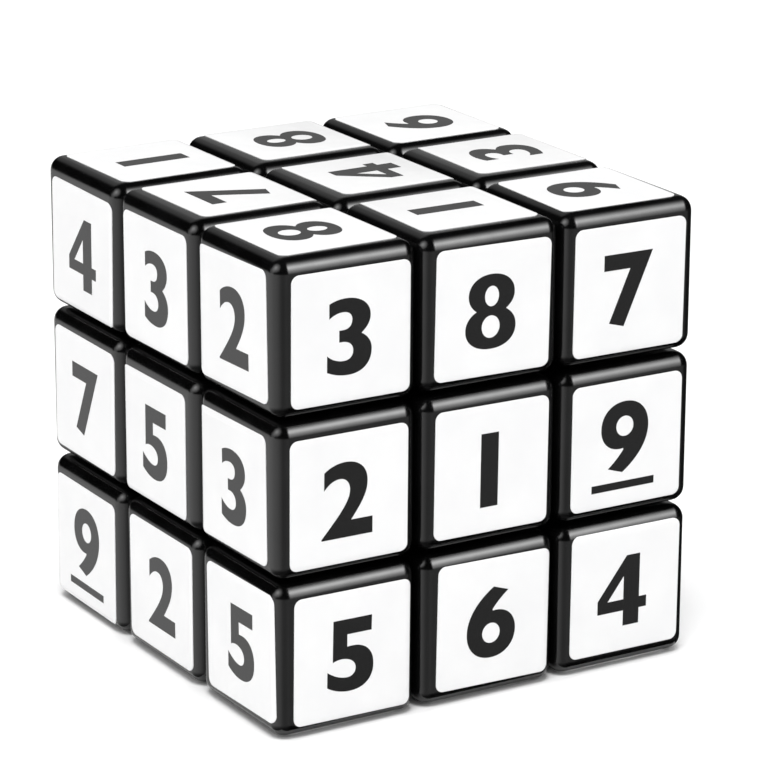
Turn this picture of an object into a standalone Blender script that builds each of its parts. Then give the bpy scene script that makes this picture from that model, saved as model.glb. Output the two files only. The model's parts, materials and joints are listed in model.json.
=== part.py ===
"""Sudoku cube: a 3x3x3 turning puzzle with number faces, in the pieces it comes apart into.

Metres, +Z up, front face towards -Y. The origin is under the middle of the cube, where it stands.
Every piece is modelled about the middle of the cube, which lies on all the turning axes, and is then
turned into its place. The layers can turn because every cut between the pieces is a surface of
revolution: a flat seam on the outside, the ball that the feet run on, and a flat cut further in,
where feet reach under their neighbours.
"""

import math

import bmesh
import bpy
from mathutils import Matrix, Vector

# Driving dimensions of the cubies
CUBE_EDGE = 0.0570
SEAM = 0.00045
FILLET = 0.0018
WALL = 0.0014
CLEARANCE = 0.0003
RUNNING_GAP = 0.0004
PLATE_DEPTH = 0.0065
SLICE_WIDTH = 0.0120
PEG_LENGTH = 0.0045
BORE_RADIUS = 0.0030

# Driving dimensions of the centres and their axles
CAP_HEIGHT = 0.0045
CAP_TOP = 0.0018
SPIGOT_LENGTH = 0.0015
FLOOR_THICKNESS = 0.0025
ARM_RADIUS = 0.0036
ARM_LENGTH = 0.0090
SCREW_RADIUS = 0.00125
SCREW_GRIP = 0.0060
HEAD_RADIUS = 0.0029
HEAD_HEIGHT = 0.0018
HEAD_SINK = 0.0022
RECESS_WIDTH = 0.0008
RECESS_LENGTH = 0.0034
RECESS_DEPTH = 0.0010
WASHER_THICKNESS = 0.0008
WIRE = 0.0005
COIL_PITCH = 0.00125

# How finely round shapes are divided
FILLET_STEPS = 2
BALL_DETAIL = 3
ROUND_STEPS = 16
COIL_STEPS = 8

# Places along an axis, from the middle of the cube outwards
HALF = CUBE_EDGE / 2
CUBIE = (CUBE_EDGE - 2 * SEAM) / 3
SIDE = CUBIE / 2
INNER_FACE = SIDE + SEAM
SLICE_FACE = (SLICE_WIDTH - RUNNING_GAP) / 2
LAYER_FACE = (SLICE_WIDTH + RUNNING_GAP) / 2
FOOT_BALL = HALF - PLATE_DEPTH - RUNNING_GAP / 2
PLATE_BALL = HALF - PLATE_DEPTH + RUNNING_GAP / 2
CAP_BOTTOM = HALF - CAP_HEIGHT
BODY_TOP = CAP_BOTTOM - CLEARANCE
STEM_RADIUS = SLICE_FACE
STEM_BOTTOM = ARM_LENGTH + CLEARANCE
FLOOR_TOP = STEM_BOTTOM + FLOOR_THICKNESS
WELL_RADIUS = STEM_RADIUS - WALL
WASHER_BOTTOM = FLOOR_TOP + CLEARANCE
WASHER_TOP = WASHER_BOTTOM + WASHER_THICKNESS
HEAD_TOP = BODY_TOP - HEAD_SINK
HEAD_BOTTOM = HEAD_TOP - HEAD_HEIGHT
SCREW_HOLE = SCREW_RADIUS + CLEARANCE
COIL_RADIUS = HEAD_RADIUS - WIRE / 2
FAR = 2 * CUBE_EDGE

FACES = {
    "top": Vector((0, 0, 1)),
    "bottom": Vector((0, 0, -1)),
    "front": Vector((0, -1, 0)),
    "back": Vector((0, 1, 0)),
    "left": Vector((-1, 0, 0)),
    "right": Vector((1, 0, 0)),
}
SIDES = ("front", "back", "left", "right")


def clear_scene():
    for obj in list(bpy.data.objects):
        bpy.data.objects.remove(obj)


def material(name, colour, roughness, metallic=0.0):
    made = bpy.data.materials.new(name)
    made.use_nodes = True
    shader = made.node_tree.nodes["Principled BSDF"]
    shader.inputs["Base Color"].default_value = (*colour, 1.0)
    shader.inputs["Roughness"].default_value = roughness
    shader.inputs["Metallic"].default_value = metallic
    return made


def shape(bm):
    """Puts a bmesh into the scene as a working object."""
    mesh = bpy.data.meshes.new("shape")
    bm.to_mesh(mesh)
    bm.free()
    obj = bpy.data.objects.new("shape", mesh)
    bpy.context.scene.collection.objects.link(obj)
    return obj


def combine(operation, base, others):
    """Applies Booleans to a working object and removes the shapes that it used."""
    for other in others:
        modifier = base.modifiers.new(operation, "BOOLEAN")
        modifier.operation = operation
        modifier.solver = "EXACT"
        modifier.object = other
    evaluated = base.evaluated_get(bpy.context.evaluated_depsgraph_get())
    mesh = bpy.data.meshes.new_from_object(evaluated)
    base.modifiers.clear()
    base.data = mesh
    for other in others:
        bpy.data.objects.remove(other)
    return base


def join(base, *others):
    return combine("UNION", base, others)


def cut(base, *others):
    return combine("DIFFERENCE", base, others)


def common(base, *others):
    return combine("INTERSECT", base, others)


def block(low, high, rounded=None):
    """A box between two corners; rounded picks, by an edge's middle, the edges that get the fillet."""
    low = Vector(low)
    high = Vector(high)
    bm = bmesh.new()
    bmesh.ops.create_cube(bm, size=1.0)
    bmesh.ops.scale(bm, vec=high - low, verts=bm.verts)
    bmesh.ops.translate(bm, vec=(low + high) / 2, verts=bm.verts)
    if rounded:
        edges = [e for e in bm.edges if rounded((e.verts[0].co + e.verts[1].co) / 2)]
        bmesh.ops.bevel(
            bm,
            geom=edges,
            offset=FILLET,
            offset_type="OFFSET",
            segments=FILLET_STEPS,
            profile=0.5,
            affect="EDGES",
        )
    return shape(bm)


def ball(radius, around=False):
    """A faceted ball with its corners at the radius or, around it, with its flats at the radius."""
    bm = bmesh.new()
    bmesh.ops.create_icosphere(bm, subdivisions=BALL_DETAIL, radius=radius)
    if around:
        bm.normal_update()
        flat = min(face.verts[0].co.dot(face.normal) for face in bm.faces)
        bmesh.ops.scale(bm, vec=Vector((1, 1, 1)) * (radius / flat), verts=bm.verts)
    return shape(bm)


def rod(radius, start, end, turn=None):
    """A round bar along +Z between two heights, turned about the middle of the cube if asked."""
    bm = bmesh.new()
    sizes = {"radius1": radius, "radius2": radius, "depth": end - start}
    bmesh.ops.create_cone(bm, cap_ends=True, segments=ROUND_STEPS, **sizes)
    bmesh.ops.translate(bm, vec=(0, 0, (start + end) / 2), verts=bm.verts)
    if turn:
        bmesh.ops.transform(bm, matrix=turn.to_4x4(), verts=bm.verts)
    return shape(bm)


def all_edges(middle):
    return True


def finished(name, obj, look, smooth_angle=35):
    """Takes a finished mesh off its working object and gives it its material."""
    mesh = obj.data
    bpy.data.objects.remove(obj)
    mesh.name = name
    mesh.materials.clear()
    mesh.materials.append(look)
    mesh.shade_smooth()
    mesh.set_sharp_from_angle(angle=math.radians(smooth_angle))
    return mesh


def corner_shell(look):
    """Hollow cubie at +X +Y +Z, open at its inner corner, where the ball of the foot closes it."""
    shell = block((INNER_FACE,) * 3, (HALF,) * 3, all_edges)
    hollow = block((INNER_FACE + WALL,) * 3, (HALF - WALL,) * 3)
    mouth = ball(FOOT_BALL + CLEARANCE, around=True)
    return finished("corner_shell", cut(shell, hollow, mouth), look)


def corner_foot(look):
    """Foot at +X +Y +Z: a piece of the running ball with a square peg that sits in the shell."""
    foot = common(ball(FOOT_BALL), block((LAYER_FACE,) * 3, (FAR,) * 3))
    seat = INNER_FACE + WALL + CLEARANCE
    return finished("corner_foot", join(foot, block((seat,) * 3, (seat + PEG_LENGTH,) * 3)), look)


def edge_piece(look):
    """Hollow cubie at +Y +Z with its foot; a bore through the foot opens the hollow towards the core."""
    spare = RUNNING_GAP
    shell = block((-SIDE, INNER_FACE, INNER_FACE), (SIDE, HALF, HALF), all_edges)
    foot_low = (-SLICE_FACE - spare, LAYER_FACE, LAYER_FACE)
    foot = common(ball(FOOT_BALL), block(foot_low, (SLICE_FACE + spare, FAR, FAR)))
    slice_room = block((-SLICE_FACE, -FAR, -FAR), (SLICE_FACE, FAR, FAR))
    beside_foot = cut(ball(PLATE_BALL, around=True), slice_room)
    hollow_low = (-SIDE + WALL, INNER_FACE + WALL, INNER_FACE + WALL)
    hollow = block(hollow_low, (SIDE - WALL, HALF - WALL, HALF - WALL))
    hollow = cut(hollow, ball(PLATE_BALL + WALL, around=True))
    outwards = Matrix.Rotation(math.radians(-45), 3, "X")
    bore = rod(BORE_RADIUS, 0.0, PLATE_BALL + 2 * WALL, outwards)
    solid = cut(join(shell, foot), beside_foot)
    return finished("edge_piece", cut(solid, join(hollow, bore)), look)


def centre_body(look):
    """Plate and stem at +Z, with the well for the screw and the spring, open under the cap."""

    def upright(middle):
        return abs(middle.x) > SIDE / 2 and abs(middle.y) > SIDE / 2

    spare = RUNNING_GAP
    plate = block((-SIDE, -SIDE, INNER_FACE), (SIDE, SIDE, BODY_TOP), upright)
    stem = rod(STEM_RADIUS + spare, STEM_BOTTOM, INNER_FACE + WALL)
    around_stem = cut(ball(PLATE_BALL, around=True), rod(STEM_RADIUS, 0.0, FAR))
    well = rod(WELL_RADIUS, FLOOR_TOP, FAR)
    hole = rod(SCREW_HOLE, 0.0, FAR)
    solid = cut(join(plate, stem), around_stem)
    return finished("centre_body", cut(solid, join(well, hole)), look)


def centre_cap(look):
    """Cap at +Z with rounded edges, hollow underneath, with a spigot that clips into the well."""

    def outside(middle):
        return middle.z > CAP_BOTTOM + CLEARANCE

    cap = block((-SIDE, -SIDE, CAP_BOTTOM), (SIDE, SIDE, HALF), outside)
    inside = SIDE - WALL
    hollow = block((-inside, -inside, 0.0), (inside, inside, HALF - CAP_TOP))
    spigot = rod(WELL_RADIUS - CLEARANCE, BODY_TOP - SPIGOT_LENGTH, HALF - CAP_TOP / 2)
    return finished("centre_cap", join(cut(cap, hollow), spigot), look)


def core_spider(look):
    """Hub with six arms, each with the blind hole that its screw goes into."""
    hub = SLICE_FACE - CLEARANCE
    core = block((-hub,) * 3, (hub,) * 3, all_edges)
    turns = [facing(direction) for direction in FACES.values()]
    core = join(core, *[rod(ARM_RADIUS, 0.0, ARM_LENGTH, turn) for turn in turns])
    hole_end = ARM_LENGTH - SCREW_GRIP - CLEARANCE
    holes = [rod(SCREW_HOLE, hole_end, ARM_LENGTH + WALL, turn) for turn in turns]
    return finished("core_spider", cut(core, *holes), look)


def axle_screw(look):
    """Pan-head screw along +Z with a cross recess."""
    shank = rod(SCREW_RADIUS, ARM_LENGTH - SCREW_GRIP, HEAD_TOP - RECESS_DEPTH)
    screw = join(rod(HEAD_RADIUS, HEAD_BOTTOM, HEAD_TOP), shank)
    long = RECESS_LENGTH / 2
    short = RECESS_WIDTH / 2
    bottom = HEAD_TOP - RECESS_DEPTH
    recess = join(
        block((-long, -short, bottom), (long, short, FAR)),
        block((-short, -long, bottom), (short, long, FAR)),
    )
    return finished("axle_screw", cut(screw, recess), look)


def flat_washer(look):
    """Washer on the floor of the well, which the centre turns under."""
    washer = rod(WELL_RADIUS - CLEARANCE, WASHER_BOTTOM, WASHER_TOP)
    return finished("flat_washer", cut(washer, rod(SCREW_HOLE, 0.0, FAR)), look)


def coil_spring(look):
    """Coil between the washer and the screw head, as one unbroken round wire."""
    start = WASHER_TOP + CLEARANCE + WIRE / 2
    end = HEAD_BOTTOM - CLEARANCE - WIRE / 2
    turns = (end - start) / COIL_PITCH
    count = math.ceil(turns * COIL_STEPS)
    points = []
    for step in range(count + 1):
        angle = 2 * math.pi * turns * step / count
        height = start + (end - start) * step / count
        points.append(Vector((COIL_RADIUS * math.cos(angle), COIL_RADIUS * math.sin(angle), height)))
    gaps = [(a - b).length for i, a in enumerate(points) for b in points[i + COIL_STEPS // 2:]]
    print("least gap between the coils of a spring: %.2f mm" % ((min(gaps) - WIRE) * 1000))
    curve = bpy.data.curves.new("coil_spring", "CURVE")
    curve.dimensions = "3D"
    spline = curve.splines.new("POLY")
    spline.points.add(len(points) - 1)
    for point, place in zip(spline.points, points):
        point.co = (*place, 1.0)
    curve.bevel_depth = WIRE / 2
    curve.bevel_resolution = 1
    curve.use_fill_caps = True
    curve.materials.append(look)
    return curve


def facing(direction):
    """The turn that carries +Z to a face."""
    across = Vector((0, 1, 0)) if direction.x else Vector((1, 0, 0))
    return Matrix((across, direction.cross(across), direction)).transposed()


def between(first, second):
    """The turn that carries an edge piece from +Y +Z to the edge between two faces."""
    return Matrix((first.cross(second), first, second)).transposed()


def meeting(across, along, up):
    """The turn that carries a corner from +X +Y +Z to the corner where three faces meet."""
    turn = Matrix((across, along, up)).transposed()
    if turn.determinant() < 0:
        turn = Matrix((along, across, up)).transposed()
    return turn


def empty(name, parent=None, height=0.0):
    made = bpy.data.objects.new(name, None)
    made.location = (0.0, 0.0, height)
    made.parent = parent
    bpy.context.scene.collection.objects.link(made)
    return made


def place(name, data, turn, parent):
    obj = bpy.data.objects.new(name, data)
    obj.rotation_euler = turn.to_euler()
    obj.parent = parent
    bpy.context.scene.collection.objects.link(obj)


def build():
    clear_scene()
    black = material("black_plastic", (0.010, 0.010, 0.011), 0.22)
    core_grey = material("core_plastic", (0.20, 0.20, 0.21), 0.45)
    steel = material("plated_steel", (0.62, 0.62, 0.60), 0.30, 1.0)
    spring_steel = material("spring_steel", (0.48, 0.48, 0.47), 0.35, 1.0)

    middle = empty("cube_middle", height=HALF)
    layers = {name: empty(name + "_layer", middle) for name in ("top", "bottom")}
    screw = axle_screw(steel)
    spring = coil_spring(spring_steel)
    washer = flat_washer(steel)
    body = centre_body(black)
    cap = centre_cap(black)
    edge = edge_piece(black)
    shell = corner_shell(black)
    foot = corner_foot(black)

    place("core_spider", core_spider(core_grey), Matrix.Identity(3), middle)
    for face, direction in FACES.items():
        turn = facing(direction)
        place("screw_" + face, screw, turn, middle)
        place("spring_" + face, spring, turn, middle)
        place("washer_" + face, washer, turn, middle)
        place("centre_" + face, body, turn, layers.get(face, middle))
        place("cap_" + face, cap, turn, layers.get(face, middle))
    for depth in ("front", "back"):
        for side in ("left", "right"):
            place("edge_%s_%s" % (depth, side), edge, between(FACES[depth], FACES[side]), middle)
    for level, layer in layers.items():
        for side in SIDES:
            place("edge_%s_%s" % (level, side), edge, between(FACES[level], FACES[side]), layer)
        for depth in ("front", "back"):
            for side in ("left", "right"):
                turn = meeting(FACES[side], FACES[depth], FACES[level])
                place("corner_%s_%s_%s" % (level, depth, side), shell, turn, layer)
                place("foot_%s_%s_%s" % (level, depth, side), foot, turn, layer)


build()
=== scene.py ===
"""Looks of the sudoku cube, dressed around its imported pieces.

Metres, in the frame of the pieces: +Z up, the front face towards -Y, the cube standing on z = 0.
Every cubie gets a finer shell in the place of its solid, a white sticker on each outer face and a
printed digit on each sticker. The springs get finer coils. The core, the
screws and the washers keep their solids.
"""

import json
import math
import random

import bmesh
import bpy
from mathutils import Matrix, Vector

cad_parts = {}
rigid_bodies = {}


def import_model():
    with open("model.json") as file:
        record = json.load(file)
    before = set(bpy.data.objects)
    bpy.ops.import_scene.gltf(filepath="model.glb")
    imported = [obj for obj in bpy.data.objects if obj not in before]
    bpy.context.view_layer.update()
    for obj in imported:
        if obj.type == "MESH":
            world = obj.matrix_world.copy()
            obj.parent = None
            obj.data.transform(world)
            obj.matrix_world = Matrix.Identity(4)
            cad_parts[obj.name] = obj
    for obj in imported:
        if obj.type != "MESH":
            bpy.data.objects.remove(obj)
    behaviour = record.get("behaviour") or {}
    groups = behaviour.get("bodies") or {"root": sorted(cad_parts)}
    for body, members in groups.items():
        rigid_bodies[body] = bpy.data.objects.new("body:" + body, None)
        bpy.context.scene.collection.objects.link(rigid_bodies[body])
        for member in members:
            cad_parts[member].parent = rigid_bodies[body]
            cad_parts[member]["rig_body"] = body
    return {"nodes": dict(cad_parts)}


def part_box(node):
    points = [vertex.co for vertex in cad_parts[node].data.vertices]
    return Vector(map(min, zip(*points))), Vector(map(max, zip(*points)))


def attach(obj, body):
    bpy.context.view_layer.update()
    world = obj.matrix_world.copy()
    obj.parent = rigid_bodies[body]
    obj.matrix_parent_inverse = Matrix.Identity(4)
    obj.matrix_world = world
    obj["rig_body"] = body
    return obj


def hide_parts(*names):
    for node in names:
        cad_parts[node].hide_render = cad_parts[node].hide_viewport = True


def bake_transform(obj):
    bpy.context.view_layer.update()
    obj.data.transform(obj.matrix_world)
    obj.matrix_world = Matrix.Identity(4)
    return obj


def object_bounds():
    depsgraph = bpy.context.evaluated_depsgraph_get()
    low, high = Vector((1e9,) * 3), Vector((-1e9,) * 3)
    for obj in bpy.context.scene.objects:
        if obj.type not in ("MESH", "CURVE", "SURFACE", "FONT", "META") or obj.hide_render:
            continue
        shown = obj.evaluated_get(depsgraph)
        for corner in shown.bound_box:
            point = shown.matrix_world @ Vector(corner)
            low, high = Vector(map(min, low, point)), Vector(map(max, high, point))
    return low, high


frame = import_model()
CAD_LOW, CAD_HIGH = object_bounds()

MM = 0.001

# Places that the frame gives, from the middle of the cube outwards
MIDDLE = (CAD_LOW + CAD_HIGH) / 2
HALF = (CAD_HIGH.x - CAD_LOW.x) / 2
INNER_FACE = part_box("corner_top_back_right")[0].x - MIDDLE.x
CUBIE = HALF - INNER_FACE
SIDE = CUBIE / 2
PITCH = INNER_FACE + SIDE
LAYER_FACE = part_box("foot_top_back_right")[0].x - MIDDLE.x
STEM_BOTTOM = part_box("centre_top")[0].z - MIDDLE.z
BODY_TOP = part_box("centre_top")[1].z - MIDDLE.z

# Sizes of the cubies
FILLET = 1.8 * MM
WALL = 1.4 * MM
CLEARANCE = 0.3 * MM
RUNNING_GAP = 0.4 * MM
PLATE_DEPTH = 6.5 * MM
PEG_LENGTH = 4.5 * MM
BORE_RADIUS = 3.0 * MM
CAP_TOP = 1.8 * MM
SPIGOT_LENGTH = 1.5 * MM
WELL_FLOOR = 2.5 * MM
SCREW_HOLE = 1.55 * MM

# Sizes of the springs
WIRE = 0.5 * MM
COIL_RADIUS = 2.65 * MM
COIL_PITCH = 1.25 * MM

# Fineness of round shapes, and the angles up to which two faces are shaded as one smooth surface
FILLET_STEPS = 8
BALL_DETAIL = 5
ROUND_STEPS = 64
COIL_STEPS = 32
WIRE_STEPS = 3
SMOOTH = math.radians(30)
COIL_SMOOTH = math.radians(60)

# Places that follow from these sizes, and a length that reaches past everything
SLICE_FACE = LAYER_FACE - RUNNING_GAP
FOOT_BALL = HALF - PLATE_DEPTH - RUNNING_GAP / 2
PLATE_BALL = FOOT_BALL + RUNNING_GAP
CAP_BOTTOM = BODY_TOP + CLEARANCE
WELL_BOTTOM = STEM_BOTTOM + WELL_FLOOR
WELL_RADIUS = SLICE_FACE - WALL
FAR = 4 * HALF

# Sizes of the stickers and their print, and how far those whose places are not listed wander
STICKER = 15.5 * MM
STICKER_CORNER = 1.0 * MM
STICKER_THICKNESS = 0.10 * MM
STICKER_RIM = 0.03 * MM
RIM_ROUNDING = 0.3
STICKER_BEND = (0.8 * MM, 0.5 * MM, 0.25 * MM)
STICKER_STEPS = 8
STICKER_WANDER = 0.25 * MM
STICKER_TWIST = math.radians(0.35)
INK_THICKNESS = 0.012 * MM
INK_STEPS = 12
PRINT_SHIFT = {"front": (-0.33 * MM, -0.16 * MM), "left": (0.20 * MM, -0.30 * MM)}
USUAL_SHIFT = (-0.15 * MM, -0.23 * MM)
NINE_LIFT = 0.92 * MM
SEED = 7

# The black faces lie lower than the solids' faces by the thickness of film and print
FACE_PLANE = HALF - STICKER_THICKNESS - INK_THICKNESS

# Outward, rightward and upward directions of each face as someone looking at it sees them
FACES = {
    "front": (Vector((0, -1, 0)), Vector((1, 0, 0)), Vector((0, 0, 1))),
    "back": (Vector((0, 1, 0)), Vector((-1, 0, 0)), Vector((0, 0, 1))),
    "left": (Vector((-1, 0, 0)), Vector((0, -1, 0)), Vector((0, 0, 1))),
    "right": (Vector((1, 0, 0)), Vector((0, 1, 0)), Vector((0, 0, 1))),
    "top": (Vector((0, 0, 1)), Vector((1, 0, 0)), Vector((0, 1, 0))),
    "bottom": (Vector((0, 0, -1)), Vector((1, 0, 0)), Vector((0, -1, 0))),
}

# Digits of each face in rows from its top, with the way that the top of the digit points
LAYOUT = {
    "front": ("3^ 8^ 7^", "2^ 1^ 9^", "5^ 6^ 4^"),
    "left": ("4^ 3^ 2^", "7^ 5^ 3^", "9^ 2^ 5^"),
    "top": ("1< 8< 6<", "7< 4< 3<", "8> 1> 6>"),
    "right": ("6v 2^ 9<", "4^ 7> 5^", "1< 8^ 3v"),
    "back": ("5^ 9^ 1v", "8< 2^ 6^", "7^ 4v 9>"),
    "bottom": ("2> 7^ 4<", "9^ 6v 8^", "3^ 1^ 5>"),
}
QUARTER_TURNS = {"^": 0, "<": 1, "v": 2, ">": 3}

# How far stickers lie out of true: to the right and up in millimetres, and turned in degrees
NUDGES = {
    "front": (
        ((0.40, -0.40, -0.35), (0.05, -0.35, -1.00), (-0.20, -0.45, -0.50)),
        ((0.15, -0.45, -0.30), (0.10, -0.25, -0.60), (-0.15, -0.30, -0.20)),
        ((0.60, -0.25, -0.60), (0.60, 0.00, -1.00), (0.10, 0.35, -0.40)),
    ),
    "left": (
        ((0.35, -0.75, -0.80), (0.05, -0.50, 0.35), (-0.50, -0.15, 1.30)),
        ((0.25, -0.35, -0.70), (-0.80, -0.60, 0.00), (-0.85, -0.30, 0.80)),
        ((-0.20, -0.55, -0.70), (0.30, 0.00, 0.00), (0.60, 0.20, 0.85)),
    ),
    "top": (
        ((0.32, -0.10, 0.70), (0.66, 0.68, 1.00), (-0.15, -0.08, 0.30)),
        ((0.80, 0.34, 1.00), (0.80, 0.80, 0.80), (0.75, 0.75, -1.00)),
        ((0.15, 0.50, 0.70), (0.20, 0.80, -1.00), (-0.28, 0.06, -1.00)),
    ),
}

# Outlines of the digits in millimetres about the middle of the digit. Each starts at a point and goes
# on by straight lines to (x, y) and by curves with two handles to (x1, y1, x2, y2, x, y).
SIX = [
    (0.24, 4.38),
    (2.28, 3.72),
    (1.44, 3.06, 0.64, 2.26, 0.13, 1.56),
    (0.20, 1.38),
    (0.38, 1.43, 0.55, 1.43, 0.70, 1.43),
    (2.25, 1.43, 3.35, 0.35, 3.35, -1.24),
    (3.35, -3.14, 1.95, -4.42, -0.02, -4.42),
    (-2.02, -4.42, -3.36, -3.05, -3.36, -1.08),
    (-3.36, 0.87, -2.16, 2.76, 0.24, 4.38),
]
OUTLINES = {
    "1": [(-1.20, 4.48), (1.20, 4.48), (1.20, -4.48), (-1.20, -4.48)],
    "2": [
        (-3.00, 3.55),
        (-2.22, 4.15, -1.22, 4.49, -0.22, 4.49),
        (1.53, 4.49, 2.68, 3.50, 2.68, 1.90),
        (2.68, 0.35, 1.85, -0.80, 0.53, -2.51),
        (3.36, -2.51),
        (3.36, -4.50),
        (-3.35, -4.50),
        (-3.35, -4.32),
        (-0.97, -1.75, 0.38, -0.25, 0.38, 1.10),
        (0.38, 2.00, -0.17, 2.57, -0.97, 2.57),
        (-1.67, 2.57, -2.37, 2.20, -3.02, 1.43),
    ],
    "3": [
        (-2.57, 4.02),
        (-1.97, 4.32, -1.17, 4.48, -0.42, 4.48),
        (1.48, 4.48, 2.79, 3.55, 2.79, 2.20),
        (2.79, 1.40, 2.38, 0.80, 1.61, 0.20),
        (2.43, -0.25, 2.95, -0.90, 2.95, -1.80),
        (2.95, -3.45, 1.78, -4.48, -0.07, -4.48),
        (-1.07, -4.48, -1.97, -4.28, -2.83, -3.86),
        (-2.83, -1.93),
        (-2.22, -2.50, -1.42, -2.78, -0.67, -2.78),
        (0.08, -2.78, 0.55, -2.35, 0.55, -1.70),
        (0.55, -0.95, -0.07, -0.54, -0.92, -0.54),
        (-1.27, -0.55),
        (-1.27, 0.82),
        (-0.82, 0.82),
        (-0.02, 0.82, 0.41, 1.25, 0.41, 1.95),
        (0.41, 2.55, -0.07, 2.91, -0.77, 2.91),
        (-1.47, 2.91, -2.07, 2.67, -2.57, 2.29),
    ],
    "4": [
        (0.49, 4.40),
        (2.39, 4.40),
        (2.39, -1.14),
        (3.46, -1.14),
        (3.46, -2.55),
        (2.39, -2.55),
        (2.39, -4.50),
        (0.12, -4.50),
        (0.12, -2.55),
        (-3.58, -2.55),
        (-3.58, -0.86),
    ],
    "5": [
        (-2.30, 4.45),
        (2.82, 4.45),
        (2.79, 2.60),
        (-0.44, 2.60),
        (-0.44, 1.08),
        (-0.17, 1.12, 0.13, 1.12, 0.38, 1.12),
        (1.98, 1.12, 3.08, 0.10, 3.08, -1.55),
        (3.08, -3.35, 1.88, -4.40, -0.07, -4.40),
        (-1.17, -4.40, -2.17, -4.10, -3.07, -3.54),
        (-3.05, -1.66),
        (-2.07, -2.35, -1.22, -2.67, -0.42, -2.67),
        (0.28, -2.67, 0.71, -2.25, 0.71, -1.63),
        (0.71, -0.85, -0.12, -0.33, -1.17, -0.33),
        (-1.62, -0.33, -2.02, -0.42, -2.35, -0.60),
    ],
    "6": SIX,
    "7": [
        (-3.38, 4.43),
        (3.42, 4.43),
        (-0.44, -4.42),
        (-2.50, -3.85),
        (0.30, 2.52),
        (-3.38, 2.52),
    ],
    "8": [
        (0.05, 4.47),
        (1.87, 4.47, 3.16, 3.49, 3.16, 2.09),
        (3.16, 1.29, 2.72, 0.65, 2.02, 0.19),
        (2.87, -0.26, 3.39, -1.00, 3.39, -1.90),
        (3.39, -3.40, 2.07, -4.42, 0.00, -4.42),
        (-2.07, -4.42, -3.42, -3.45, -3.42, -1.95),
        (-3.42, -1.05, -2.87, -0.25, -1.94, 0.16),
        (-2.67, 0.65, -3.06, 1.29, -3.06, 2.09),
        (-3.06, 3.49, -1.77, 4.47, 0.05, 4.47),
    ],
    "9": [tuple(-number for number in step) for step in SIX],
}

# What a digit has besides its outline: the triangle in the 4, the bar under the 9, and ovals as
# (x, y, half width, half height)
FOUR_HOLE = [(0.12, 1.83), (-2.16, -1.14), (0.12, -1.14)]
NINE_BAR = [(-4.55, -5.50), (4.35, -5.50), (4.35, -6.45), (-4.55, -6.45)]
OVALS = {
    "6": [(0.00, -1.34, 1.22, 1.25)],
    "8": [(0.08, 1.84, 0.95, 1.21), (0.00, -1.77, 1.22, 1.33)],
    "9": [(0.00, 1.34, 1.22, 1.25)],
}

# Length of the handles that make a quarter arc, as a share of its radius
QUARTER_ARC = 0.5523

# How unlike the patterns of two pieces are, and the part of a pattern's range that is used
PATTERN_VARIETY = 40.0
PATTERN_LOW = 0.3
PATTERN_HIGH = 0.7

# Camera
EYE = Vector((-225.4, -376.5, 169.2)) * MM
TARGET = Vector((2.73, -1.45, 29.9)) * MM
ROLL = math.radians(0.22)
LENS = 174.9
CLIP_START = 0.01
CLIP_END = 50.0

# Floor, sky and the lamp above
FLOOR_REACH = 6.0
FLOOR_DROP = 0.05 * MM
FLOOR_DARK = 0.93
FLOOR_LIGHT = 0.95
FLOOR_ROUGHNESS = 0.8
SKY_LIGHT = 0.77
HORIZON_REACH = 0.15
OVERHEAD_PLACE = Vector((-0.40, -0.48, 2.0))
OVERHEAD_SIZE = 0.9
OVERHEAD_POWER = 29.5

# The room in gloss. A pair says where a light starts and where it is full, as the height of a direction
# or its share of a way such as left or behind, from -1 to 1.
TABLE_FAR = 0.95
TABLE_NEAR = 0.45
TABLE_BESIDE = 0.60
TABLE_FRONT = 0.47
TABLE_SHADE_RIGHT = 0.05
TABLE_SHADE_UNDER = 0.15
TABLE_BEHIND_SPAN = (-1.0, 0.9)
TABLE_LEFT_SPAN = (-0.35, 0.30)
TABLE_UNDER_SPAN = (-0.80, -0.40)
TABLE_BESIDE_SPAN = (0.45, 0.95)
TABLE_FRONT_SPAN = (0.2, 0.7)
TABLE_RIGHT_SPAN = (-0.3, 0.2)
TABLE_NEAR_SPAN = (-0.60, -0.35)
TABLE_EDGE_SPAN = (0.02, -0.12)
PANEL_GLOW = 7.2
PANEL_BRIGHT = 4.8
PANEL_GLOW_SPAN = (-0.25, 0.62)
PANEL_BRIGHT_SPAN = (0.30, 0.62)
PANEL_TOP_SPAN = (0.92, 0.58)
PANEL_BOTTOM_SPAN = (-0.12, 0.06)
PANEL_RIGHT_SPAN = (0.76, 0.46)
PANEL_LEFT_SPAN = (0.22, 0.42)
PANEL_FRONT_SPAN = (-0.10, 0.35)

# Lamps that show in gloss: azimuth, elevation, half angle of the core and of the soft edge, brightness
LAMPS = [
    (-84, 40, 2, 36, 2.4),
    (-88, 40, 1, 16, 2.2),
    (-106, 12, 2, 24, 1.2),
    (149, 14, 4, 24, 0.37),
    (170, 37, 5, 24, 0.34),
]


def scene_object(name, data):
    obj = bpy.data.objects.new(name, data)
    bpy.context.scene.collection.objects.link(obj)
    return obj


# Shapes


def shape(bm):
    """Puts a bmesh into the scene as a working object."""
    mesh = bpy.data.meshes.new("shape")
    bm.to_mesh(mesh)
    bm.free()
    return scene_object("shape", mesh)


def evaluated_mesh(obj):
    """The mesh of an object with its modifiers applied."""
    evaluated = obj.evaluated_get(bpy.context.evaluated_depsgraph_get())
    return bpy.data.meshes.new_from_object(evaluated)


def combine(operation, base, others):
    """Applies Booleans to a working object and removes the shapes that it used."""
    for other in others:
        modifier = base.modifiers.new(operation, "BOOLEAN")
        modifier.operation = operation
        modifier.solver = "EXACT"
        modifier.object = other
    mesh = evaluated_mesh(base)
    base.modifiers.clear()
    base.data = mesh
    for other in others:
        bpy.data.objects.remove(other)
    return base


def join(base, *others):
    return combine("UNION", base, others)


def cut(base, *others):
    return combine("DIFFERENCE", base, others)


def common(base, *others):
    return combine("INTERSECT", base, others)


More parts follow.
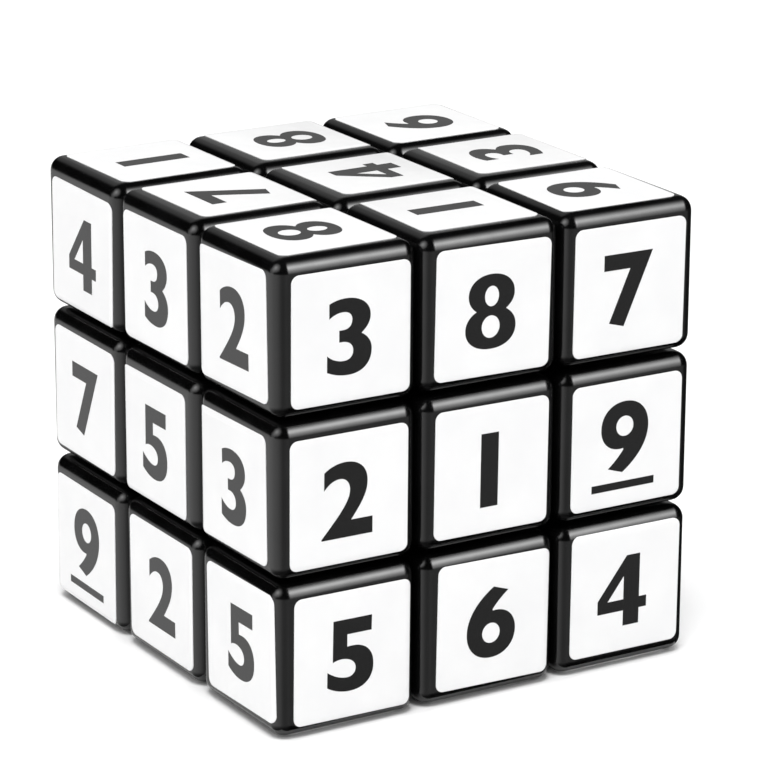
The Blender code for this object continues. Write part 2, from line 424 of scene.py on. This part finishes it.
def block(low, high, rounded=None):
    """A box between two corners; rounded picks, by an edge's middle, the edges that get the fillet."""
    low = Vector(low)
    high = Vector(high)
    bm = bmesh.new()
    bmesh.ops.create_cube(bm, size=1.0)
    bmesh.ops.scale(bm, vec=high - low, verts=bm.verts)
    bmesh.ops.translate(bm, vec=(low + high) / 2, verts=bm.verts)
    if rounded:
        edges = [e for e in bm.edges if rounded((e.verts[0].co + e.verts[1].co) / 2)]
        bmesh.ops.bevel(
            bm,
            geom=edges,
            offset=FILLET,
            offset_type="OFFSET",
            segments=FILLET_STEPS,
            profile=0.5,
            affect="EDGES",
        )
    return shape(bm)


def ball(radius):
    bm = bmesh.new()
    bmesh.ops.create_icosphere(bm, subdivisions=BALL_DETAIL, radius=radius)
    return shape(bm)


def rod(radius, start, end, turn=None):
    """A round bar along +Z between two heights, turned about the middle of the cube if asked."""
    bm = bmesh.new()
    sizes = {"radius1": radius, "radius2": radius, "depth": end - start}
    bmesh.ops.create_cone(bm, cap_ends=True, segments=ROUND_STEPS, **sizes)
    bmesh.ops.translate(bm, vec=(0, 0, (start + end) / 2), verts=bm.verts)
    if turn:
        bmesh.ops.transform(bm, matrix=turn.to_4x4(), verts=bm.verts)
    return shape(bm)


def all_edges(middle):
    return True


def named(name, mesh, look):
    """Gives a mesh its name and its material."""
    mesh.name = name
    mesh.materials.clear()
    mesh.materials.append(look)
    return mesh


def smoothed(mesh, angle):
    mesh.shade_smooth()
    mesh.set_sharp_from_angle(angle=angle)
    return mesh


def finished(name, obj, look):
    """Takes a finished mesh off its working object."""
    mesh = obj.data
    bpy.data.objects.remove(obj)
    return smoothed(named(name, mesh, look), SMOOTH)


def corner_shell(look):
    """Cubie at +X +Y +Z, hollow, and open at its inner corner, where its foot sits."""
    shell = block((INNER_FACE,) * 3, (FACE_PLANE,) * 3, all_edges)
    hollow = block((INNER_FACE + WALL,) * 3, (FACE_PLANE - WALL,) * 3)
    return finished("corner_shell", cut(shell, hollow, ball(FOOT_BALL + CLEARANCE)), look)


def corner_foot(look):
    """Foot at +X +Y +Z: a piece of the ball that the layers run on, with its square peg."""
    foot = common(ball(FOOT_BALL), block((LAYER_FACE,) * 3, (FAR,) * 3))
    seat = INNER_FACE + WALL + CLEARANCE
    return finished("corner_foot", join(foot, block((seat,) * 3, (seat + PEG_LENGTH,) * 3)), look)


def edge_piece(look):
    """Cubie at +Y +Z with its foot, hollow, with a bore through the foot."""
    spare = RUNNING_GAP
    shell = block((-SIDE, INNER_FACE, INNER_FACE), (SIDE, FACE_PLANE, FACE_PLANE), all_edges)
    foot_low = (-SLICE_FACE - spare, LAYER_FACE, LAYER_FACE)
    foot = common(ball(FOOT_BALL), block(foot_low, (SLICE_FACE + spare, FAR, FAR)))
    slice_room = block((-SLICE_FACE, -FAR, -FAR), (SLICE_FACE, FAR, FAR))
    beside_foot = cut(ball(PLATE_BALL), slice_room)
    hollow_low = (-SIDE + WALL, INNER_FACE + WALL, INNER_FACE + WALL)
    hollow = block(hollow_low, (SIDE - WALL, FACE_PLANE - WALL, FACE_PLANE - WALL))
    hollow = cut(hollow, ball(PLATE_BALL + WALL))
    outwards = Matrix.Rotation(math.radians(-45), 3, "X")
    # Half a step of turn keeps the corners of the bore off the corner line of the foot
    half_step = Matrix.Rotation(math.pi / ROUND_STEPS, 3, "Z")
    bore = rod(BORE_RADIUS, 0.0, PLATE_BALL + 2 * WALL, outwards @ half_step)
    solid = cut(join(shell, foot), beside_foot)
    return finished("edge_piece", cut(solid, join(hollow, bore)), look)


def centre_body(look):
    """Plate and stem at +Z, with the well for the screw and the spring, open under the cap."""

    def upright(middle):
        return abs(middle.x) > SIDE / 2 and abs(middle.y) > SIDE / 2

    spare = RUNNING_GAP
    plate = block((-SIDE, -SIDE, INNER_FACE), (SIDE, SIDE, BODY_TOP), upright)
    stem = rod(SLICE_FACE + spare, STEM_BOTTOM, INNER_FACE + WALL)
    around_stem = cut(ball(PLATE_BALL), rod(SLICE_FACE, 0.0, FAR))
    well = rod(WELL_RADIUS, WELL_BOTTOM, FAR)
    hole = rod(SCREW_HOLE, 0.0, FAR)
    solid = cut(join(plate, stem), around_stem)
    return finished("centre_body", cut(solid, join(well, hole)), look)


def centre_cap(look):
    """Cap at +Z with rounded edges, hollow underneath, with the spigot that clips into the well."""

    def outside(middle):
        return middle.z > CAP_BOTTOM + CLEARANCE

    cap = block((-SIDE, -SIDE, CAP_BOTTOM), (SIDE, SIDE, FACE_PLANE), outside)
    inside = SIDE - WALL
    hollow = block((-inside, -inside, 0.0), (inside, inside, FACE_PLANE - CAP_TOP))
    spigot = rod(WELL_RADIUS - CLEARANCE, BODY_TOP - SPIGOT_LENGTH, FACE_PLANE - CAP_TOP / 2)
    return finished("centre_cap", join(cut(cap, hollow), spigot), look)


def curve_mesh(name, curve, look):
    """The solid that a curve makes, with its material."""
    working = scene_object("curve", curve)
    mesh = evaluated_mesh(working)
    bpy.data.objects.remove(working)
    return named(name, mesh, look)


def coil_spring(look, start, end):
    """Coil at +Z between two heights, as one unbroken round wire."""
    turns = (end - start - WIRE) / COIL_PITCH
    count = round(turns * COIL_STEPS)
    curve = bpy.data.curves.new("coil_spring", "CURVE")
    curve.dimensions = "3D"
    curve.bevel_depth = WIRE / 2
    curve.bevel_resolution = WIRE_STEPS
    curve.use_fill_caps = True
    spline = curve.splines.new("POLY")
    spline.points.add(count)
    for step, point in enumerate(spline.points):
        angle = 2 * math.pi * turns * step / count
        height = start + WIRE / 2 + COIL_PITCH * turns * step / count
        point.co = (COIL_RADIUS * math.cos(angle), COIL_RADIUS * math.sin(angle), height, 1.0)
    return smoothed(curve_mesh("coil_spring", curve, look), COIL_SMOOTH)


def sag(place):
    """How far a cubie's fillets fall away at a place on its face, given from the face's middle."""
    flat = SIDE - FILLET
    total = 0.0
    for way in place:
        over = min(max(abs(way) - flat, 0.0), FILLET)
        total += FILLET - math.sqrt(FILLET ** 2 - over ** 2)
    return total


def sticker_ring(inset):
    """Points round a sticker, a step in from its edge."""
    reach = STICKER / 2 - STICKER_CORNER
    points = []
    for corner in range(4):
        turn = Matrix.Rotation(corner * math.pi / 2, 2)
        for step in range(STICKER_STEPS + 1):
            angle = step / STICKER_STEPS * math.pi / 2
            arc = Vector((math.cos(angle), math.sin(angle))) * (STICKER_CORNER - inset)
            points.append(turn @ (Vector((reach, reach)) + arc))
    return points


def sticker_mesh(name, look, middle, twist):
    """Film on a cubie's face about z = 0, with a soft upper rim, bent down where it reaches the fillets."""
    soft = STICKER_RIM
    eased_off = STICKER_RIM * RIM_ROUNDING
    film = STICKER_THICKNESS
    under = [(inset, 0.0) for inset in STICKER_BEND]
    rim = [(0.0, 0.0), (0.0, film - soft), (eased_off, film - eased_off), (soft, film)]
    upper = [(inset, film) for inset in reversed(STICKER_BEND)]
    turn = Matrix.Rotation(twist, 2)
    bm = bmesh.new()
    rings = []
    for inset, height in under + rim + upper:
        places = [Vector(middle) + turn @ point for point in sticker_ring(inset)]
        rings.append([bm.verts.new((*place, height - sag(place))) for place in places])
    bm.faces.new(reversed(rings[0]))
    bm.faces.new(rings[-1])
    for lower, higher in zip(rings, rings[1:]):
        for index in range(len(lower)):
            bm.faces.new((lower[index - 1], lower[index], higher[index], higher[index - 1]))
    return finished(name, shape(bm), look)


def add_outline(curve, steps):
    """Adds a closed outline of straight lines and curves to a flat curve, from millimetres."""
    nodes = [Vector((*steps[0], 0.0))]
    handles = []
    for step in steps[1:]:
        straight = len(step) == 2
        handles.append(None if straight else (Vector((*step[:2], 0.0)), Vector((*step[2:4], 0.0))))
        nodes.append(Vector((*step[-2:], 0.0)))
    if (nodes[-1] - nodes[0]).length == 0.0:
        nodes.pop()
    else:
        handles.append(None)
    spline = curve.splines.new("BEZIER")
    spline.use_cyclic_u = True
    spline.bezier_points.add(len(nodes) - 1)
    for index, point in enumerate(spline.bezier_points):
        before = handles[index - 1]
        after = handles[index]
        point.co = nodes[index] * MM
        point.handle_left_type = "FREE" if before else "VECTOR"
        point.handle_right_type = "FREE" if after else "VECTOR"
        if before:
            point.handle_left = before[1] * MM
        if after:
            point.handle_right = after[0] * MM


def oval(x, y, wide, high):
    """An oval as four curves."""
    across = wide * QUARTER_ARC
    along = high * QUARTER_ARC
    return [
        (x + wide, y),
        (x + wide, y + along, x + across, y + high, x, y + high),
        (x - across, y + high, x - wide, y + along, x - wide, y),
        (x - wide, y - along, x - across, y - high, x, y - high),
        (x + across, y - high, x + wide, y - along, x + wide, y),
    ]


def digit_mesh(digit, look):
    """Printed digit lying across z = 0, half of its thickness above."""
    curve = bpy.data.curves.new("digit_" + digit, "CURVE")
    curve.dimensions = "2D"
    curve.fill_mode = "BOTH"
    curve.extrude = INK_THICKNESS
    curve.resolution_u = INK_STEPS
    add_outline(curve, OUTLINES[digit])
    for numbers in OVALS.get(digit, ()):
        add_outline(curve, oval(*numbers))
    if digit == "4":
        add_outline(curve, FOUR_HOLE)
    if digit == "9":
        add_outline(curve, NINE_BAR)
    return curve_mesh("digit_" + digit, curve, look)


# Materials


def new_material(name):
    made = bpy.data.materials.new(name)
    made.use_nodes = True
    return made, made.node_tree, made.node_tree.nodes["Principled BSDF"]


def noise(tree, scale, detail=3.0, stretch=None):
    """A noise pattern in the piece's own space, unlike from piece to piece."""
    place = tree.nodes.new("ShaderNodeTexCoord")
    each = tree.nodes.new("ShaderNodeObjectInfo")
    pattern = tree.nodes.new("ShaderNodeTexNoise")
    pattern.noise_dimensions = "4D"
    pattern.inputs["Scale"].default_value = scale
    pattern.inputs["Detail"].default_value = detail
    unlike = tree.nodes.new("ShaderNodeMath")
    unlike.operation = "MULTIPLY"
    unlike.inputs[1].default_value = PATTERN_VARIETY
    tree.links.new(each.outputs["Random"], unlike.inputs[0])
    tree.links.new(unlike.outputs["Value"], pattern.inputs["W"])
    if stretch:
        scaled = tree.nodes.new("ShaderNodeMapping")
        scaled.inputs["Scale"].default_value = stretch
        tree.links.new(place.outputs["Object"], scaled.inputs["Vector"])
        tree.links.new(scaled.outputs["Vector"], pattern.inputs["Vector"])
    else:
        tree.links.new(place.outputs["Object"], pattern.inputs["Vector"])
    return pattern.outputs["Fac"]


def ramp(tree, factor, stops):
    """Colours along a factor; stops are (place, colour) with the colour as three numbers."""
    node = tree.nodes.new("ShaderNodeValToRGB")
    while len(node.color_ramp.elements) < len(stops):
        node.color_ramp.elements.new(1.0)
    for element, (place, shade) in zip(node.color_ramp.elements, stops):
        element.position = place
        element.color = (*shade, 1.0)
    tree.links.new(factor, node.inputs["Fac"])
    return node.outputs["Color"]


def colour(tree, shader, factor, stops):
    """Gives a shader colours along a pattern."""
    tree.links.new(ramp(tree, factor, stops), shader.inputs["Base Color"])


def polish(tree, shader, factor, smooth, rough):
    """Gives a shader a roughness that follows the middle of a pattern's range."""
    node = tree.nodes.new("ShaderNodeMapRange")
    node.inputs["From Min"].default_value = PATTERN_LOW
    node.inputs["From Max"].default_value = PATTERN_HIGH
    node.inputs["To Min"].default_value = smooth
    node.inputs["To Max"].default_value = rough
    tree.links.new(factor, node.inputs["Value"])
    tree.links.new(node.outputs["Result"], shader.inputs["Roughness"])


def bump(tree, shader, height, strength, distance):
    node = tree.nodes.new("ShaderNodeBump")
    node.inputs["Strength"].default_value = strength
    node.inputs["Distance"].default_value = distance
    tree.links.new(height, node.inputs["Height"])
    tree.links.new(node.outputs["Normal"], shader.inputs["Normal"])


def black_plastic():
    """Glossy moulded plastic with a faint ripple from the mould and uneven polish."""
    made, tree, shader = new_material("black_plastic")
    shades = [(0.35, (0.0012, 0.0012, 0.0012)), (PATTERN_HIGH, (0.0030, 0.0030, 0.0032))]
    colour(tree, shader, noise(tree, scale=260.0), shades)
    polish(tree, shader, noise(tree, scale=420.0), smooth=0.13, rough=0.21)
    bump(tree, shader, noise(tree, scale=1100.0, detail=2.0), strength=0.15, distance=0.02 * MM)
    shader.inputs["IOR"].default_value = 1.52
    return made


def core_plastic():
    """Matt grey moulded plastic of the inner spider."""
    made, tree, shader = new_material("core_plastic")
    shades = [(PATTERN_LOW, (0.17, 0.17, 0.18)), (PATTERN_HIGH, (0.23, 0.23, 0.24))]
    colour(tree, shader, noise(tree, scale=180.0), shades)
    polish(tree, shader, noise(tree, scale=700.0), smooth=0.42, rough=0.55)
    bump(tree, shader, noise(tree, scale=3500.0, detail=2.0), strength=0.2, distance=0.02 * MM)
    return made


def steel(name, dark, light, smooth, rough):
    """Bright metal with fine lines drawn along it."""
    made, tree, shader = new_material(name)
    lines = noise(tree, scale=500.0, detail=2.0, stretch=(1.0, 1.0, 0.08))
    colour(tree, shader, lines, [(PATTERN_LOW, (dark,) * 3), (PATTERN_HIGH, (light,) * 3)])
    polish(tree, shader, lines, smooth, rough)
    bump(tree, shader, lines, strength=0.1, distance=0.01 * MM)
    shader.inputs["Metallic"].default_value = 1.0
    return made


def pressed_on(tree, shader):
    """Gloss with the faint unevenness of a film that was pressed on by hand."""
    polish(tree, shader, noise(tree, scale=500.0), smooth=0.16, rough=0.24)
    bump(tree, shader, noise(tree, scale=240.0, detail=1.0), strength=0.06, distance=0.03 * MM)


def sticker_white():
    """Glossy white vinyl film."""
    made, tree, shader = new_material("sticker_white")
    shades = [(PATTERN_LOW, (0.84, 0.84, 0.845)), (PATTERN_HIGH, (0.88, 0.88, 0.88))]
    colour(tree, shader, noise(tree, scale=150.0), shades)
    pressed_on(tree, shader)
    return made


def digit_ink():
    """Black print under a clear gloss, a little uneven in cover."""
    made, tree, shader = new_material("digit_ink")
    shades = [(PATTERN_LOW, (0.0020, 0.0020, 0.0020)), (PATTERN_HIGH, (0.0035, 0.0034, 0.0035))]
    colour(tree, shader, noise(tree, scale=2200.0, detail=2.0), shades)
    pressed_on(tree, shader)
    return made


# Placing


def facing(up):
    """The turn that carries +Z to a face."""
    across = Vector((0, 1, 0)) if up.x else Vector((1, 0, 0))
    return Matrix((across, up.cross(across), up)).transposed()


def between(first, second):
    """The turn that carries an edge piece from +Y +Z to the edge between two faces."""
    return Matrix((first.cross(second), first, second)).transposed()


def meeting(up, along, across):
    """The turn that carries a corner from +X +Y +Z to the corner where three faces meet."""
    turn = Matrix((across, along, up)).transposed()
    if turn.determinant() < 0:
        turn = Matrix((along, across, up)).transposed()
    return turn


def outward(face):
    return FACES[face][0]


def stand_for(node, mesh, turn):
    """Places a finer piece where a solid is, on the same body."""
    piece = scene_object(node + "_fine", mesh)
    piece.matrix_world = Matrix.Translation(MIDDLE) @ turn.to_4x4()
    normals = piece.modifiers.new("weighted_normals", "WEIGHTED_NORMAL")
    normals.keep_sharp = True
    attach(piece, frame["nodes"][node]["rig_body"])
    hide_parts(node)


def dress_cubies(look):
    """Puts finer cubies, feet, centre bodies and caps in the places of their solids."""
    kinds = {
        "corner": (corner_shell(look), meeting),
        "foot": (corner_foot(look), meeting),
        "edge": (edge_piece(look), between),
        "centre": (centre_body(look), facing),
        "cap": (centre_cap(look), facing),
    }
    for node in frame["nodes"]:
        kind, *faces = node.split("_")
        if kind in kinds:
            mesh, turn = kinds[kind]
            stand_for(node, mesh, turn(*[outward(face) for face in faces]))


def dress_springs(look):
    """Puts in finer coils in the places of the springs, from the washer to the screw head."""
    low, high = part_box("spring_top")
    start = low.z - MIDDLE.z
    end = high.z - MIDDLE.z
    coil = coil_spring(look, start, end)
    for face in FACES:
        node = "spring_" + face
        piece = scene_object(node + "_fine", coil.copy())
        piece.matrix_world = Matrix.Translation(MIDDLE) @ facing(outward(face)).to_4x4()
        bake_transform(piece)
        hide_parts(node)


def dress_inside():
    """Gives materials to the pieces that keep their solids."""
    looks = {
        "core": core_plastic(),
        "screw": steel("plated_steel", dark=0.55, light=0.68, smooth=0.22, rough=0.36),
        "washer": steel("washer_steel", dark=0.50, light=0.64, smooth=0.26, rough=0.42),
    }
    for node, obj in frame["nodes"].items():
        look = looks.get(node.split("_")[0])
        if look:
            obj.data.materials.clear()
            obj.data.materials.append(look)


def cubie_at(place):
    """The node of the cubie at a place on the 3x3x3 grid, given as whole numbers from -1 to 1."""
    across, along, up = place
    names = []
    names += {1: ["top"], -1: ["bottom"], 0: []}[up]
    names += {1: ["back"], -1: ["front"], 0: []}[along]
    names += {1: ["right"], -1: ["left"], 0: []}[across]
    return "_".join([{1: "cap", 2: "edge", 3: "corner"}[len(names)]] + names)


def hand_placing(chance, face, row, column):
    """How far a sticker lies out of true: its shift on the face, and its turn."""
    shift = [chance.uniform(-STICKER_WANDER, STICKER_WANDER) for axis in range(2)]
    twist = chance.uniform(-STICKER_TWIST, STICKER_TWIST)
    if face in NUDGES:
        across, along, degrees = NUDGES[face][row][column]
        shift = [across * MM, along * MM]
        twist = math.radians(degrees)
    return shift, twist


def print_place(face, digit, way, shift, twist):
    """Where a digit lies on its cubie's face."""
    aside, upward = PRINT_SHIFT.get(face, USUAL_SHIFT)
    if digit == "9":
        upward += NINE_LIFT
    shifted = Matrix.Translation((*shift, 0.0))
    turned = Matrix.Rotation(twist + QUARTER_TURNS[way] * math.pi / 2, 4, "Z")
    printed = Matrix.Translation((aside, upward, STICKER_THICKNESS))
    return shifted @ turned @ printed


def dress_faces(paper, ink):
    """Puts a sticker and its digit on every outer face, each a little out of true."""
    chance = random.Random(SEED)
    digits = {digit: digit_mesh(digit, ink) for digit in OUTLINES}
    for face, rows in LAYOUT.items():
        normal, right, up = FACES[face]
        basis = Matrix((right, up, normal)).transposed().to_4x4()
        for row, cells in enumerate(rows):
            for column, (digit, way) in enumerate(cells.split()):
                name = "%s_%d%d" % (face, row + 1, column + 1)
                grid = normal + right * (column - 1) + up * (1 - row)
                body = frame["nodes"][cubie_at([round(n) for n in grid])]["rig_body"]
                centre = Vector(((column - 1) * PITCH, (1 - row) * PITCH, FACE_PLANE))
                seat = Matrix.Translation(MIDDLE) @ basis @ Matrix.Translation(centre)
                shift, twist = hand_placing(chance, face, row, column)

                film = scene_object("sticker_" + name, sticker_mesh("sticker", paper, shift, twist))
                film.matrix_world = seat
                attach(film, body)

                figure = scene_object("digit_" + name, digits[digit])
                figure.matrix_world = seat @ print_place(face, digit, way, shift, twist)
                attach(figure, body)


# Stage


def floor():
    """A white floor just below the cube. Gloss sees only the shaded part of it under the cube."""
    made, tree, shader = new_material("floor")
    shades = [(PATTERN_LOW, (FLOOR_DARK,) * 3), (PATTERN_HIGH, (FLOOR_LIGHT,) * 3)]
    colour(tree, shader, noise(tree, scale=3.0), shades)
    shader.inputs["Roughness"].default_value = FLOOR_ROUGHNESS
    planes = [("floor", FLOOR_REACH, FLOOR_DROP), ("floor_under", HALF, FLOOR_DROP / 2)]
    for name, reach, drop in planes:
        bm = bmesh.new()
        bmesh.ops.create_grid(bm, x_segments=1, y_segments=1, size=reach)
        plane = shape(bm)
        plane.name = name
        plane.location.z = -drop
        plane.data.materials.append(made)
        plane.visible_glossy = name == "floor_under"


def overhead():
    """A soft lamp above, in front and to the left, for the stickers and the floor, unseen in gloss."""
    lamp = bpy.data.lights.new("overhead", "AREA")
    lamp.shape = "DISK"
    lamp.size = OVERHEAD_SIZE
    lamp.energy = OVERHEAD_POWER
    obj = scene_object("overhead", lamp)
    obj.location = OVERHEAD_PLACE
    obj.rotation_euler = OVERHEAD_PLACE.to_track_quat("Z", "Y").to_euler()
    obj.visible_camera = False
    obj.visible_glossy = False


def direction(azimuth, elevation):
    """A direction from the cube; azimuth 0 is in front of it and 90 to its right, in degrees."""
    a = math.radians(azimuth)
    e = math.radians(elevation)
    return Vector((math.sin(a) * math.cos(e), -math.cos(a) * math.cos(e), math.sin(e)))


def math_node(tree, operation, first, second):
    node = tree.nodes.new("ShaderNodeMath")
    node.operation = operation
    tree.links.new(first, node.inputs[0])
    tree.links.new(second, node.inputs[1])
    return node.outputs["Value"]


def eased(tree, value, span, low=0.0, high=1.0):
    """Goes softly from low to high while the value goes from one end of a span to the other."""
    start, end = span
    node = tree.nodes.new("ShaderNodeMapRange")
    node.interpolation_type = "SMOOTHSTEP"
    node.inputs["From Min"].default_value = start
    node.inputs["From Max"].default_value = end
    node.inputs["To Min"].default_value = low
    node.inputs["To Max"].default_value = high
    tree.links.new(value, node.inputs["Value"])
    return node.outputs["Result"]


def ray(tree):
    """The direction in which the world is seen."""
    return tree.nodes.new("ShaderNodeTexCoord").outputs["Generated"]


def towards(tree, way, aim):
    """How far a direction agrees with an aim, from -1 to 1."""
    node = tree.nodes.new("ShaderNodeVectorMath")
    node.operation = "DOT_PRODUCT"
    node.inputs[1].default_value = aim
    tree.links.new(way, node.inputs[0])
    return node.outputs["Value"]


def table(tree, way):
    """A table below the cube, bright behind and on the left, dimmer in front and dark on the right."""
    height = towards(tree, way, outward("top"))
    left = towards(tree, way, outward("left"))
    right = towards(tree, way, outward("right"))
    behind = eased(tree, towards(tree, way, outward("back")), TABLE_BEHIND_SPAN, TABLE_NEAR, TABLE_FAR)
    side = math_node(tree, "MULTIPLY", behind, eased(tree, left, TABLE_LEFT_SPAN, TABLE_SHADE_RIGHT))
    side = math_node(tree, "ADD", side, eased(tree, left, TABLE_BESIDE_SPAN, 0.0, TABLE_BESIDE))
    side = math_node(tree, "MULTIPLY", side, eased(tree, height, TABLE_UNDER_SPAN, TABLE_SHADE_UNDER))
    ahead = eased(tree, towards(tree, way, outward("front")), TABLE_FRONT_SPAN, 0.0, TABLE_FRONT)
    ahead = math_node(tree, "MULTIPLY", ahead, eased(tree, right, TABLE_RIGHT_SPAN))
    ahead = math_node(tree, "MULTIPLY", ahead, eased(tree, height, TABLE_NEAR_SPAN))
    whole = math_node(tree, "ADD", side, ahead)
    return math_node(tree, "MULTIPLY", whole, eased(tree, height, TABLE_EDGE_SPAN))


def panel(tree, way):
    """A panel in front on the right, brightest along its upper edge and fading downwards."""
    height = towards(tree, way, outward("top"))
    right = towards(tree, way, outward("right"))
    forward = towards(tree, way, outward("front"))
    glow = eased(tree, height, PANEL_GLOW_SPAN, 0.0, PANEL_GLOW)
    bright = eased(tree, height, PANEL_BRIGHT_SPAN, 0.0, PANEL_BRIGHT)
    light = math_node(tree, "ADD", glow, bright)
    limits = [
        eased(tree, height, PANEL_TOP_SPAN),
        eased(tree, height, PANEL_BOTTOM_SPAN),
        eased(tree, right, PANEL_RIGHT_SPAN),
        eased(tree, right, PANEL_LEFT_SPAN),
        eased(tree, forward, PANEL_FRONT_SPAN),
    ]
    for limit in limits:
        light = math_node(tree, "MULTIPLY", light, limit)
    return light


def room(tree):
    """Brightness of the room in gloss: the table, the panel and soft round lamps."""
    way = ray(tree)
    total = math_node(tree, "ADD", table(tree, way), panel(tree, way))
    for azimuth, elevation, core, edge, brightness in LAMPS:
        near = towards(tree, way, direction(azimuth, elevation))
        span = (math.cos(math.radians(edge)), math.cos(math.radians(core)))
        total = math_node(tree, "ADD", total, eased(tree, near, span, 0.0, brightness))
    return total


def background(tree, brightness):
    """A white background that is as bright as a node says."""
    node = tree.nodes.new("ShaderNodeBackground")
    node.inputs["Color"].default_value = (1.0, 1.0, 1.0, 1.0)
    tree.links.new(brightness, node.inputs["Strength"])
    return node.outputs["Background"]


def chosen(tree, by, otherwise, when):
    """One background for the rays that a light path output names, another one for the rest."""
    node = tree.nodes.new("ShaderNodeMixShader")
    tree.links.new(by, node.inputs["Fac"])
    tree.links.new(otherwise, node.inputs[1])
    tree.links.new(when, node.inputs[2])
    return node.outputs["Shader"]


def world():
    """An even sky to matt surfaces, a dim room with lamps to gloss, and a white backdrop to the camera,
    which goes down to the far floor's tone at the horizon."""
    made = bpy.data.worlds.new("studio")
    bpy.context.scene.world = made
    made.use_nodes = True
    tree = made.node_tree
    sky = tree.nodes["Background"]
    sky.inputs["Color"].default_value = (1.0, 1.0, 1.0, 1.0)
    sky.inputs["Strength"].default_value = SKY_LIGHT
    height = towards(tree, ray(tree), outward("top"))
    backdrop = eased(tree, height, (0.0, HORIZON_REACH), SKY_LIGHT * FLOOR_LIGHT, 1.0)
    path = tree.nodes.new("ShaderNodeLightPath").outputs
    lit = chosen(tree, path["Is Glossy Ray"], sky.outputs["Background"], background(tree, room(tree)))
    seen = chosen(tree, path["Is Camera Ray"], lit, background(tree, backdrop))
    tree.links.new(seen, tree.nodes["World Output"].inputs["Surface"])


def camera():
    """The photograph's view."""
    lens = bpy.data.cameras.new("camera")
    lens.lens = LENS
    lens.clip_start = CLIP_START
    lens.clip_end = CLIP_END
    obj = scene_object("camera", lens)
    look = (EYE - TARGET).to_track_quat("Z", "Y").to_matrix()
    obj.matrix_world = Matrix.Translation(EYE) @ (look @ Matrix.Rotation(ROLL, 3, "Z")).to_4x4()
    bpy.context.scene.camera = obj


def main():
    bpy.context.scene.view_settings.view_transform = "Standard"
    dress_cubies(black_plastic())
    dress_springs(steel("spring_steel", dark=0.40, light=0.54, smooth=0.28, rough=0.42))
    dress_inside()
    dress_faces(sticker_white(), digit_ink())
    floor()
    overhead()
    world()
    camera()


main()
